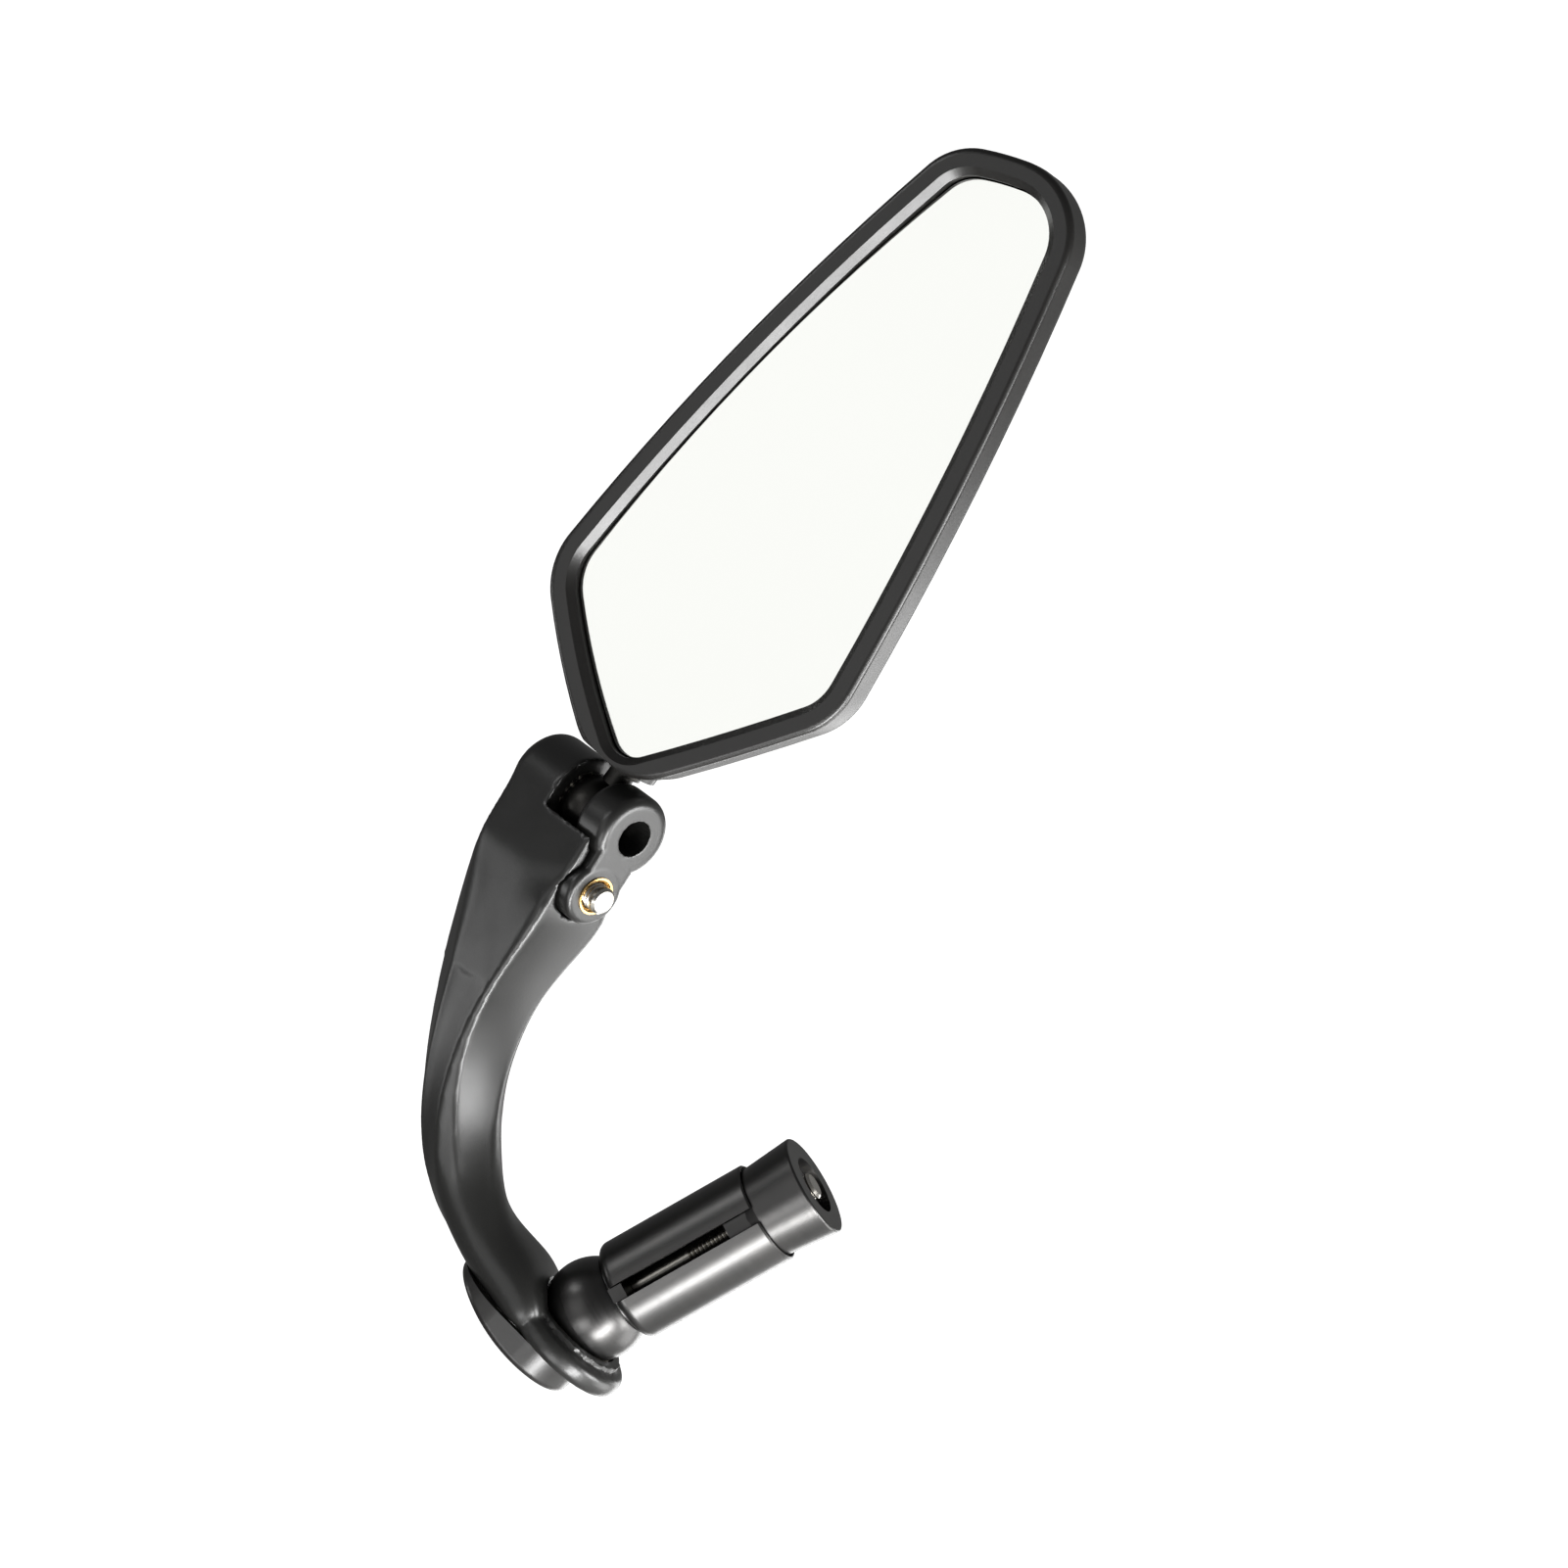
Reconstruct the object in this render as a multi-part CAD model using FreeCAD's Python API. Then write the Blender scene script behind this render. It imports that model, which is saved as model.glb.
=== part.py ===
# Bar-end bicycle mirror: an expanding plug for the handlebar's bore, a swept arm that pinches the
# mirror's ball stud at its top, and a long kite-shaped mirror head that turns on that stud.
# Millimetres. The shapes are built about the centre of the plug sleeve's outboard end, with the arm
# upright. They are exported with the origin on the plug's axis where the sleeve's straight wall
# begins: +X runs along the plug into the bar, +Z is up and -Y faces the rider.
import FreeCAD, Part
import math
import os

from FreeCAD import Vector

os.makedirs("parts", exist_ok=True)

# ---- plug -------------------------------------------------------------------------------------
armLean = 15.3           # degrees that the arm's plane leans back from upright
wallStart = 1.9          # the origin's distance from the sleeve's outboard end
plugRadius = 9.25        # the sleeve suits a 22.2 mm bar with a bore of about 19 mm
sleeveLength = 29.6
sleeveBore = 6.4
sleeveMouth = 8.75       # bore radius where the cone enters
sleeveTaper = 6.2        # length of the tapered mouth
sleeveSlot = 3.0         # width of the slot that lets the sleeve spread
slotTurn = 7.0           # degrees that the slot stands above the rider's side
endRound = 1.8           # rounding of the sleeve's outboard end
coneFace = 39.3          # where the cone ends
coneDraw = 0.8           # how far the cone can still be drawn in
pocketRadius = 5.3
nutFlats = 8.0
nutHeight = 4.0
nutRecess = 1.9          # depth of the nut below the cone's face
keyWidth = 2.6

# ---- swivel ball and its bolt -----------------------------------------------------------------
ballRadius = 9.25
ballX = -5.8             # the ball's centre, on the plug's axis
linerThick = 0.34
wallThick = 1.6          # arm wall behind the ball
cupThick = 1.1
cupRadius = 5.4
cupHalfWidth = 5.2
running = 0.08           # radial gap of surfaces that turn on each other
boltRadius = 2.5
threadPitch = 0.8
threadDepth = 0.45
boltHeadRadius = 4.25
boltHeadHeight = 3.5
hexFlats = 4.0
tiltReach = 9.0          # degrees that the arm tilts each way on the ball
slotPlay = 1.5           # room beside the bolt's shank in the arm's slot
slotEnds = 3.0           # room past the shank at the ends of the tilt
headPlay = 2.0           # room round the bolt's head in the end cap's window
paddleTurn = 14.7        # degrees between the paddle's face and a face square to the plug
paddleRadius = 12.6
paddleFront = 5.7        # distances of the paddle's faces from the ball's centre
paddleBack = 10.0
capApex = 16.4
capDome = 33.5           # radius of the cap's domed face
capCentre = 8.0          # how far the cap's middle is above the paddle's
capLength = 28.0
capWidth = 21.0
capPeak = 4.0

# ---- clamp at the top of the arm --------------------------------------------------------------
studX = 39.3
studZ = 75.2
studBall = 6.0
clampAxis = Vector(0.43, -0.60, -0.674)
armDown = Vector(-0.877, -0.102, -0.470)
jawBack = 15.4
jawRadius = 8.2
slotHalf = 3.4
shoulder = 3.3
armFace = 10.2
plateFace = 11.6
plateLobe = 7.5
plateFoot = 5.8
footDown = 11.8
footAcross = 1.0
plateHole = 3.25
insertRadius = 3.5
clampLength = 25.0
clampTip = 14.2
clampHead = 5.0
clampBore = 4.7

# ---- mirror head ------------------------------------------------------------------------------
headRise = 23.0          # degrees of the head's long axis above the plug's
headTip = 15.5           # degrees that the glass is tipped up about that axis
faceOut = 8.0            # from the stud's axis to the bezel's face
# The glass's corners before rounding, x up the head from the stud ball's centre and y across it,
# then each corner's rounding and the bow of the edge that follows it.
glassCorners = [
    (10.6, -0.6, 4.5, 0.4),
    (41.4, -23.9, 9.0, 1.7),
    (131.9, -7.0, 8.5, 1.0),
    (126.1, 11.8, 7.0, 2.4),
    (31.4, 26.7, 9.0, 1.2),
]
rimTip = 14.5            # rounding of the rim's lower tip
rimWidth = 4.9
rimBevel = 1.3           # the bezel's inner wall slopes by this much down to the glass
rimDrop = 1.8            # depth of the glass below the bezel's face
glassThick = 2.0
glassCurve = 1200.0      # radius of the convex glass
foamThick = 1.0
headDepth = 11.6
shellWall = 1.6
neckRadius = 2.4
spigotRadius = 2.0
neckFace = 9.6           # from the ball's centre to the neck's shoulder
bushOuter = 3.0
bushEnd = 17.0
bossRadius = 5.6

axisX = Vector(1, 0, 0)
axisY = Vector(0, 1, 0)
axisZ = Vector(0, 0, 1)
zero = Vector(0, 0, 0)


def placed(shape, origin, xDir, zDir):
    """Moves a shape built on the standard axes onto the axes xDir and zDir at origin."""
    z = Vector(zDir).normalize()
    x = Vector(xDir) - z * z.dot(Vector(xDir))
    x.normalize()
    y = z.cross(x)
    grid = FreeCAD.Matrix(x.x, y.x, z.x, origin.x, x.y, y.y, z.y, origin.y, x.z, y.z, z.z, origin.z, 0, 0, 0, 1)
    moved = shape.copy()
    moved.Placement = FreeCAD.Placement(grid).multiply(moved.Placement)
    return moved


def rod(radius, start, end, direction=axisZ):
    return Part.makeCylinder(radius, end - start, direction * start, direction)


def cone(radiusA, radiusB, start, end, direction=axisZ):
    return Part.makeCone(radiusA, radiusB, end - start, direction * start, direction)


def box(x0, x1, y0, y1, z0, z1):
    return Part.makeBox(x1 - x0, y1 - y0, z1 - z0, Vector(x0, y0, z0))


def ball(radius, centre=zero, pole=axisZ):
    return Part.makeSphere(radius, centre, pole)


def hexPrism(flats, start, end):
    corner = flats / math.sqrt(3)
    points = [Vector(corner * math.cos(math.radians(60 * i)), corner * math.sin(math.radians(60 * i)), start)
              for i in range(7)]
    return Part.Face(Part.makePolygon(points)).extrude(Vector(0, 0, end - start))


def stadium(halfLength, halfWidth, start, end):
    """A round-ended bar, long along X."""
    straight = halfLength - halfWidth
    bar = box(-straight, straight, -halfWidth, halfWidth, start, end)
    for side in (-1, 1):
        bar = bar.fuse(rod(halfWidth, start, end).translated(Vector(side * straight, 0, 0)))
    return bar.removeSplitter()


def threadedRod(radius, start, end):
    """A rod with one ring of thread at each pitch and a chamfered tip."""
    root = radius - threadDepth
    points = [Vector(0, 0, start), Vector(radius, 0, start)]
    turns = int((end - start - threadDepth) / threadPitch)
    for i in range(turns):
        z = start + i * threadPitch
        points.append(Vector(radius, 0, z + 0.12 * threadPitch))
        points.append(Vector(root, 0, z + 0.5 * threadPitch))
        points.append(Vector(radius, 0, z + 0.88 * threadPitch))
    points.append(Vector(radius, 0, end - threadDepth))
    points.append(Vector(root, 0, end))
    points.append(Vector(0, 0, end))
    points.append(points[0])
    return Part.Face(Part.makePolygon(points)).revolve(zero, axisZ, 360)


def socketHead(radius, height, start):
    """A round screw head that ends at start, with a hexagon socket in its far face."""
    head = rod(radius, start - height, start)
    rim = [e for e in head.Edges if abs(e.CenterOfMass.z - start + height) < 0.01 and e.Length > radius]
    head = head.makeFillet(0.5, rim)
    return head.cut(hexPrism(hexFlats, start - height - 1, start - height + 0.6 * height))


# ---- the plug ---------------------------------------------------------------------------------
def expanderSleeve():
    body = rod(plugRadius, 0, sleeveLength, axisX)
    ends = [e for e in body.Edges if e.Length > plugRadius and abs(e.CenterOfMass.x) < 0.01]
    body = body.makeFillet(endRound, ends)
    ends = [e for e in body.Edges if e.Length > plugRadius and abs(e.CenterOfMass.x - sleeveLength) < 0.01]
    body = body.makeChamfer(0.3, ends)
    body = body.cut(rod(sleeveBore, -1, sleeveLength + 1, axisX))
    body = body.cut(cone(sleeveBore, sleeveMouth, sleeveLength - sleeveTaper, sleeveLength, axisX))
    slot = box(-1, sleeveLength + 1, -plugRadius - 1, 0, -sleeveSlot / 2, sleeveSlot / 2)
    return body.cut(slot.rotated(zero, axisX, -slotTurn))


def conePiece():
    gap = (sleeveMouth - sleeveBore) / sleeveTaper * coneDraw + 0.06
    small = sleeveBore - gap
    throat = sleeveMouth - gap
    start = sleeveLength - sleeveTaper
    body = cone(small, throat, start, sleeveLength, axisX)
    body = body.fuse(cone(throat, plugRadius, sleeveLength, coneFace, axisX))
    rim = [e for e in body.Edges if abs(e.CenterOfMass.x - coneFace) < 0.01 and e.Length > plugRadius]
    body = body.makeFillet(0.4, rim)
    key = box(sleeveLength - sleeveTaper, sleeveLength, -plugRadius + 1.6, 0, -keyWidth / 2, keyWidth / 2)
    body = body.fuse(key.rotated(zero, axisX, -slotTurn))
    body = body.cut(rod(boltRadius + 0.25, 0, coneFace + 1, axisX))
    body = body.cut(rod(pocketRadius, coneFace - nutRecess, coneFace + 1, axisX))
    nutSeat = placed(hexPrism(nutFlats, coneFace - nutRecess - nutHeight, coneFace), zero, axisY, axisX)
    return body.cut(nutSeat)


def expanderNut():
    start = coneFace - nutRecess - nutHeight
    nut = hexPrism(nutFlats - 0.04, start, start + nutHeight)
    crown = cone(nutFlats / 2 - 0.1 + nutHeight * 2, nutFlats / 2 - 0.1, start - nutHeight + 0.2, start + nutHeight)
    nut = nut.common(crown)
    nut = nut.cut(rod(boltRadius + 0.05, start - 1, start + nutHeight + 1))
    nut = nut.cut(cone(boltRadius + 0.05, boltRadius + 0.6, start + nutHeight - 0.5, start + nutHeight + 0.05))
    return placed(nut, zero, axisY, axisX)


def plugBall():
    body = ball(ballRadius, Vector(ballX, 0, 0))
    body = body.cut(box(-0.4, 20, -20, 20, -20, 20))
    body = body.fuse(rod(sleeveBore - 0.05, -0.5, 2.4, axisX))
    body = body.fuse(rod(sleeveBore + 0.7, -0.5, 0, axisX))
    key = box(-0.3, 2.4, -plugRadius + 1.4, 0, -keyWidth / 2, keyWidth / 2)
    body = body.fuse(key.rotated(zero, axisX, -slotTurn))
    return body.cut(rod(boltRadius + 0.4, -20, 20, axisX))


def boltSeat():
    return ballX - ballRadius - running - linerThick - wallThick - running - cupThick


def expanderBolt():
    seat = boltSeat() - 0.04
    shank = rod(boltRadius, seat - 0.1, 14)
    thread = threadedRod(boltRadius - 0.02, 14, coneFace + 0.1)
    bolt = shank.fuse(thread).fuse(socketHead(boltHeadRadius, boltHeadHeight, seat))
    return placed(bolt, zero, axisY, axisX)


# ---- the swivel at the arm's root ---------------------------------------------------------------
ballCentre = Vector(ballX, 0, 0)
paddleOut = Vector(-math.cos(math.radians(paddleTurn)), 0, -math.sin(math.radians(paddleTurn)))
paddleUp = Vector(-math.sin(math.radians(paddleTurn)), 0, math.cos(math.radians(paddleTurn)))
socketRadius = ballRadius + running + linerThick
shellRadius = socketRadius + wallThick


def onPaddle(shape):
    """Local x runs up the paddle and local z points away from the plug."""
    return placed(shape, ballCentre, paddleUp, paddleOut)


def onBolt(shape):
    """Local z points out along the bolt, away from the plug, and local x lies in the arm's plane."""
    return placed(shape, ballCentre, axisZ, -axisX)


def pressureCup():
    inner = shellRadius + running
    dish = ball(inner + cupThick + 0.25).cut(ball(inner))
    dish = dish.common(rod(cupRadius, 0, 20)).common(box(-8, 8, -cupHalfWidth, cupHalfWidth, 0, inner + cupThick))
    return onBolt(dish.cut(rod(boltRadius + 0.2, 0, 20)))


def boltSlot():
    swing = shellRadius * math.sin(math.radians(tiltReach))
    return stadium(boltRadius + slotEnds + swing, boltRadius + slotPlay, 0, 30)


def ballLiner():
    shell = ball(socketRadius).cut(ball(ballRadius + running))
    shell = onPaddle(shell.common(box(-20, 20, -20, 20, paddleFront - 0.4, 20)))
    return shell.cut(onBolt(boltSlot()))


def capOutline(inset, start, end):
    shape = stadium(capLength / 2 - inset, capWidth / 2 - inset, start, end)
    return shape.translated(Vector(capCentre, 0, 0))


def armEndCap():
    dome = ball(capDome, Vector(capPeak, 0, capApex - capDome))
    body = capOutline(0, paddleBack, 20).common(dome)
    rim = [e for e in body.Edges if e.CenterOfMass.z > paddleBack + 0.5 and e.Length > 6]
    body = body.makeFillet(1.2, rim)
    hollow = ball(capDome - 1.5, Vector(capPeak, 0, capApex - capDome))
    body = body.cut(capOutline(1.5, paddleBack - 1, 20).common(hollow))
    body = onPaddle(body)
    swing = 16 * math.sin(math.radians(tiltReach))
    window = stadium(boltHeadRadius + headPlay + swing, boltHeadRadius + headPlay, 9, 30)
    return body.cut(onBolt(window))


# ---- the arm ----------------------------------------------------------------------------------
studCentre = Vector(studX, 0, studZ)
clampN = Vector(clampAxis).normalize()
clampS = Vector(armDown) - clampN * clampN.dot(armDown)
clampS.normalize()
clampM = clampS.cross(clampN)


def onClamp(shape):
    """Local z is the pinch axis, local y runs down the arm and local x faces the front."""
    return placed(shape, studCentre, clampM, clampN)


# Each station: centre x and z, heading in degrees below +X of the way down the arm, twist in degrees,
# half size towards the clamp's side (u), on the other side (w), across the front's side (v), the
# crease, the back rounding and the left edge's bevel (along u, along v).
armStations = [
    (29.6, 71.6, 152, 37, 10.2, 15.0, 8.1, 1.0, 1.0, 2.4, 1.6),
    (23.2, 68.2, 151, 37, 11.0, 13.8, 8.2, 0.8, 0.8, 4.6, 2.4),
    (16.4, 63.9, 145, 37, 9.4, 12.8, 7.8, 0.6, 1.4, 7.0, 3.2),
    (9.2, 58.6, 140, 38, 6.7, 11.2, 7.5, 0.7, 2.4, 6.6, 3.4),
    (2.0, 52.9, 136, 39, 5.2, 9.2, 7.5, 0.9, 2.6, 5.8, 3.4),
    (-5.0, 46.3, 128, 42, 4.9, 7.8, 7.2, 1.6, 2.8, 4.8, 3.4),
    (-10.3, 39.4, 120, 46, 5.2, 6.6, 7.0, 2.6, 3.0, 3.8, 3.4),
    (-14.2, 31.6, 106, 56, 5.8, 6.0, 6.6, 3.0, 3.2, 3.4, 3.2),
    (-15.9, 25.4, 96, 72, 6.8, 6.8, 5.9, 3.0, 3.2, 3.2, 3.2),
    (-16.0, 19.4, 90, 90, 8.2, 8.2, 5.3, 3.0, 3.0, 3.0, 3.0),
    (-15.1, 13.6, 82, 90, 9.8, 9.8, 5.4, 3.0, 3.0, 3.0, 3.0),
    (-14.4, 8.6, 77, 90, 11.2, 11.2, 5.0, 2.4, 2.4, 2.4, 2.4),
    (-14.1, 1.6, 75.3, 90, 11.6, 11.6, 2.1, 1.0, 1.0, 1.0, 1.0),
]


def armSection(station):
    x, z, heading, twist, u, w, v, crease, back, bevelU, bevelV = station
    down = Vector(math.cos(math.radians(heading)), 0, -math.sin(math.radians(heading)))
    inner = Vector(-down.z, 0, down.x)
    front = -axisY
    uDir = inner * math.cos(math.radians(twist)) + front * math.sin(math.radians(twist))
    vDir = front * math.cos(math.radians(twist)) - inner * math.sin(math.radians(twist))
    corners = [(u, -v + back), (u, v - crease), (u - crease, v), (-w + bevelU, v),
               (-w, v - bevelV), (-w, -v + back), (-w + back, -v), (u - back, -v)]
    points = [Vector(x, 0, z) + uDir * a + vDir * b for a, b in corners]
    return Part.makePolygon(points + [points[0]])


def armBlade():
    return Part.makeLoft([armSection(station) for station in armStations], True, False)


def jawBlock():
    """The arm's squared top, rounded about the pinch axis."""
    block = rod(jawRadius, -jawBack, armFace)
    block = block.fuse(box(-jawRadius, jawRadius, 0, 13, -jawBack, 0))
    block = block.fuse(box(-plateFoot, jawRadius, 0, 13, -1, armFace))
    edges = [e for e in block.Edges if abs(e.CenterOfMass.z + jawBack) < 0.01]
    block = block.makeFillet(1.6, edges)
    return block


def plateOutline(grow, start, end):
    """The figure-of-eight of the clamp plate."""
    top = rod(plateLobe + grow, start, end)
    foot = rod(plateFoot + grow, start, end).translated(Vector(footAcross, footDown, 0))
    web = box(-plateFoot - grow + 1.2, plateFoot + grow - 0.4, 2, footDown, start, end)
    return top.fuse(foot).fuse(web).removeSplitter()


def paddle():
    disc = rod(paddleRadius, paddleFront, paddleBack)
    disc = disc.makeFillet(1.9, [e for e in disc.Edges if e.Length > paddleRadius and len(e.Vertexes) == 1])
    return disc


def arm():
    body = armBlade().fuse(onClamp(jawBlock()))
    shell = onPaddle(ball(shellRadius).common(box(-20, 20, -20, 20, paddleFront - 1.2, 20)))
    body = body.fuse(shell).fuse(onPaddle(paddle()))
    # the ball's socket, the bolt's slot and the recess in which the dished washer moves
    body = body.cut(ball(socketRadius, ballCentre))
    body = body.cut(onBolt(boltSlot()))
    swing = (shellRadius + cupThick) * math.sin(math.radians(tiltReach))
    recess = stadium(cupRadius + 0.3 + swing, cupRadius + 0.3, 0, 30).cut(ball(shellRadius))
    body = body.cut(onBolt(recess))
    keep = box(-30, 30, -30, 30, paddleBack, 40).common(rod(24, 0, 40).translated(Vector(capCentre, 0, 0)))
    body = body.cut(onPaddle(capOutline(-0.1, paddleBack, 40).common(keep)))
    # the clamp's slot, plate recess and screw hole
    body = body.cut(onClamp(box(-30, 30, -30, shoulder, -slotHalf, 40)))
    body = body.cut(onClamp(rod(jawRadius + 0.1, -slotHalf, 40)))
    body = body.cut(onClamp(plateOutline(0.15, slotHalf, 40)))
    body = body.cut(onClamp(ball(studBall + running + 0.6)))
    hole = rod(boltRadius + 0.25, -40, 40).fuse(rod(clampBore, -40, clampTip - clampLength))
    body = body.cut(onClamp(hole.translated(Vector(footAcross, footDown, 0))))
    return body


def clampPlate():
    body = plateOutline(0, slotHalf, plateFace)
    rim = [e for e in body.Edges if abs(e.CenterOfMass.z - plateFace) < 0.01]
    body = body.makeFillet(0.8, rim)
    body = body.cut(rod(plateHole, 0, 20)).cut(cone(plateHole, plateHole + 1, plateFace - 0.6, plateFace + 0.4))
    body = body.cut(ball(studBall + running))
    return onClamp(body.cut(rod(insertRadius, 0, 20).translated(Vector(footAcross, footDown, 0))))


def clampInsert():
    body = rod(insertRadius, slotHalf, plateFace + 0.3).cut(rod(boltRadius + 0.03, 0, 20))
    body = body.cut(cone(boltRadius, boltRadius + 0.8, plateFace - 0.3, plateFace + 0.5))
    return onClamp(body.translated(Vector(footAcross, footDown, 0)))


def clampScrew():
    seat = clampTip - clampLength
    body = rod(boltRadius, seat - 0.1, -2).fuse(threadedRod(boltRadius - 0.02, -2, clampTip))
    body = body.fuse(socketHead(boltHeadRadius, clampHead, seat))
    return onClamp(body.translated(Vector(footAcross, footDown, 0)))


def jawSeat():
    """The hard cup in the jaw that the ball bears on."""
    body = ball(studBall + running + 0.6).cut(ball(studBall + running))
    body = body.common(box(-9, 9, -9, 9, -9, -slotHalf))
    return onClamp(body)


# ---- the mirror head ----------------------------------------------------------------------------
headAxis = Vector(math.cos(math.radians(headRise)), 0, math.sin(math.radians(headRise)))
headCross = Vector(-math.sin(math.radians(headRise)), 0, math.cos(math.radians(headRise)))
headFace = -axisY * math.cos(math.radians(headTip)) + headCross * math.sin(math.radians(headTip))


def onHead(shape):
    """Local x runs up the head from the stud ball's centre and local z out of the glass."""
    return placed(shape, studCentre, headAxis, headFace)


def turned(vector, angle):
    """A vector in the XY plane turned by an angle in radians."""
    c, s = math.cos(angle), math.sin(angle)
    return Vector(vector.x * c - vector.y * s, vector.x * s + vector.y * c, 0)


def headOutline(grow, start, end, tipRound=0):
    """The kite outline of the glass, grown all round by an even width, as a prism."""
    points = [Vector(x, y, 0) for x, y, rounding, bow in glassCorners]
    bows = [corner[3] for corner in glassCorners]
    count = len(points)
    outward, bend, middles = [], [], []
    for i in range(count):
        chord = points[(i + 1) % count] - points[i]
        normal = Vector(chord.y, -chord.x, 0).normalize()
        outward.append(normal)
        bend.append(2 * math.atan(2 * bows[i] / chord.Length))
        middles.append(points[i] + chord * 0.5 + normal * (bows[i] + grow))
    grown = []
    for i in range(count):
        before = turned(outward[i - 1], bend[i - 1])
        after = turned(outward[i], -bend[i])
        grown.append(points[i] + (before + after) * (grow / (1 + before.dot(after))))
    edges = []
    for i in range(count):
        ends = (grown[i], grown[(i + 1) % count])
        if bows[i]:
            edges.append(Part.Arc(ends[0], middles[i], ends[1]).toShape())
        else:
            edges.append(Part.makeLine(*ends))
    prism = Part.Face(Part.Wire(edges)).extrude(Vector(0, 0, end - start))
    for i in range(count):
        radius = max(glassCorners[i][2] + grow, 1.0)
        if i == 0 and tipRound:
            radius = tipRound
        upright = [e for e in prism.Edges if abs(e.Vertexes[0].Z - e.Vertexes[-1].Z) > 0.5 * (end - start)
                   and (e.CenterOfMass - grown[i]).cross(axisZ).Length < 0.01]
        prism = prism.makeFillet(radius, upright)
    return prism.translated(Vector(0, 0, start))


def endEdges(shape, height):
    return [e for e in shape.Edges if abs(e.CenterOfMass.z - height) < 0.01 and e.Length > 1]


def housing():
    back = faceOut - headDepth
    split = faceOut - 3.2
    body = headOutline(rimWidth - 0.3, back, split, rimTip)
    body = body.makeFillet(4.6, endEdges(body, back))
    boss = rod(bossRadius, neckFace + 0.1, bushEnd + 7.5, axisX)
    tail = cone(bossRadius, 2.4, bushEnd + 7.5, bushEnd + 26, axisX)
    boss = boss.fuse(tail).common(box(0, 60, -20, 20, -20, faceOut - rimDrop - glassThick - foamThick))
    body = body.fuse(boss)
    inner = headOutline(rimWidth - 0.3 - shellWall, back + shellWall, faceOut, rimTip - shellWall)
    inner = inner.makeFillet(3.2, endEdges(inner, back + shellWall))
    inner = inner.cut(boss)
    body = body.cut(inner)
    body = body.cut(rod(bossRadius - 1.3, bushEnd, bushEnd + 6.2, axisX))
    body = body.cut(rod(bushOuter, 0, bushEnd + 1, axisX))
    body = body.cut(box(0, neckFace + 0.1, -20, 20, -20, 20))
    return onHead(body)


def bezel():
    split = faceOut - 3.2
    ring = headOutline(rimWidth, split, faceOut, rimTip)
    ring = ring.makeFillet(1.1, endEdges(ring, faceOut))
    ring = ring.cut(headOutline(0.3, split - 1, faceOut + 1))
    inner = [e for e in endEdges(ring, faceOut) if e.CenterOfMass.z > faceOut - 0.01]
    outer = headOutline(rimWidth - 2, faceOut - 1, faceOut + 1)
    inner = [e for e in inner if outer.isInside(e.valueAt(e.FirstParameter), 0.01, True)]
    ring = ring.makeChamfer(rimBevel, inner)
    ring = ring.cut(box(0, neckFace + 0.1, -20, 20, -20, 20))
    return onHead(ring)


def mirrorGlass():
    top = faceOut - rimDrop
    plate = headOutline(0, top - glassThick, top)
    centre = Vector(70, 0, top - glassCurve)
    return onHead(plate.common(ball(glassCurve, centre, axisX)))


def foamPad():
    top = faceOut - rimDrop - glassThick
    pad = headOutline(-3.0, top - foamThick, top)
    pad = pad.cut(headOutline(-8.0, top - foamThick - 1, top + 1))
    pad = pad.cut(box(0, bushEnd + 14, -6, 6, -20, 20))
    return onHead(pad)


def neckBush():
    body = rod(bushOuter, neckFace + 0.1, bushEnd, axisX).cut(rod(spigotRadius + 0.06, 0, 30, axisX))
    return onHead(body)


def ballStud():
    body = ball(studBall)
    body = body.fuse(rod(neckRadius, 0, neckFace - 1.2, axisX))
    body = body.fuse(rod(neckRadius + 0.9, neckFace - 1.2, neckFace, axisX))
    thread = placed(threadedRod(spigotRadius, bushEnd, bushEnd + 5.6), zero, axisY, axisX)
    body = body.fuse(rod(spigotRadius, 0, bushEnd, axisX)).fuse(thread)
    return onHead(body)


def neckWasher():
    start = bushEnd + 0.08
    return onHead(rod(3.9, start, start + 0.6, axisX).cut(rod(spigotRadius + 0.1, 0, 40, axisX)))


def neckSpring():
    """A dished spring washer between the plain washer and the nut."""
    start = bushEnd + 0.68
    outer = cone(3.7, 2.9, start, start + 0.9, axisX)
    inner = cone(3.1, 2.1, start - 0.01, start + 0.55, axisX)
    return onHead(outer.cut(inner).cut(rod(spigotRadius + 0.1, 0, 40, axisX)))


def neckNut():
    start = bushEnd + 1.58
    nut = hexPrism(7.0, start, start + 3.2).common(cone(8, 3.4, start - 4, start + 3.2))
    nut = nut.cut(rod(spigotRadius + 0.02, 0, 40))
    return onHead(placed(nut, zero, axisY, axisX))


pieces = {
    "expander_sleeve": expanderSleeve,
    "expander_cone": conePiece,
    "expander_nut": expanderNut,
    "expander_bolt": expanderBolt,
    "plug_ball": plugBall,
    "pressure_cup": pressureCup,
    "ball_liner": ballLiner,
    "arm": arm,
    "arm_end_cap": armEndCap,
    "clamp_plate": clampPlate,
    "clamp_insert": clampInsert,
    "clamp_screw": clampScrew,
    "jaw_seat": jawSeat,
    "ball_stud": ballStud,
    "neck_bush": neckBush,
    "neck_washer": neckWasher,
    "neck_spring": neckSpring,
    "neck_nut": neckNut,
    "housing": housing,
    "bezel": bezel,
    "mirror_glass": mirrorGlass,
    "foam_pad": foamPad,
}

for name, make in pieces.items():
    shape = make()
    shape.rotate(zero, axisX, -armLean)
    shape.translate(Vector(-wallStart, 0, 0))
    shape.exportStep("parts/" + name + ".step")
    print(name, len(shape.Solids), shape.isValid(), round(shape.Volume, 1))
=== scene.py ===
# Bar-end bicycle mirror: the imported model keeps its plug, swivel, stud and head, and gets a moulded
# arm and clamp plate, real finishes and a plain pale studio.
import math

import bmesh
import bpy
from mathutils import Matrix, Vector


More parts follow.
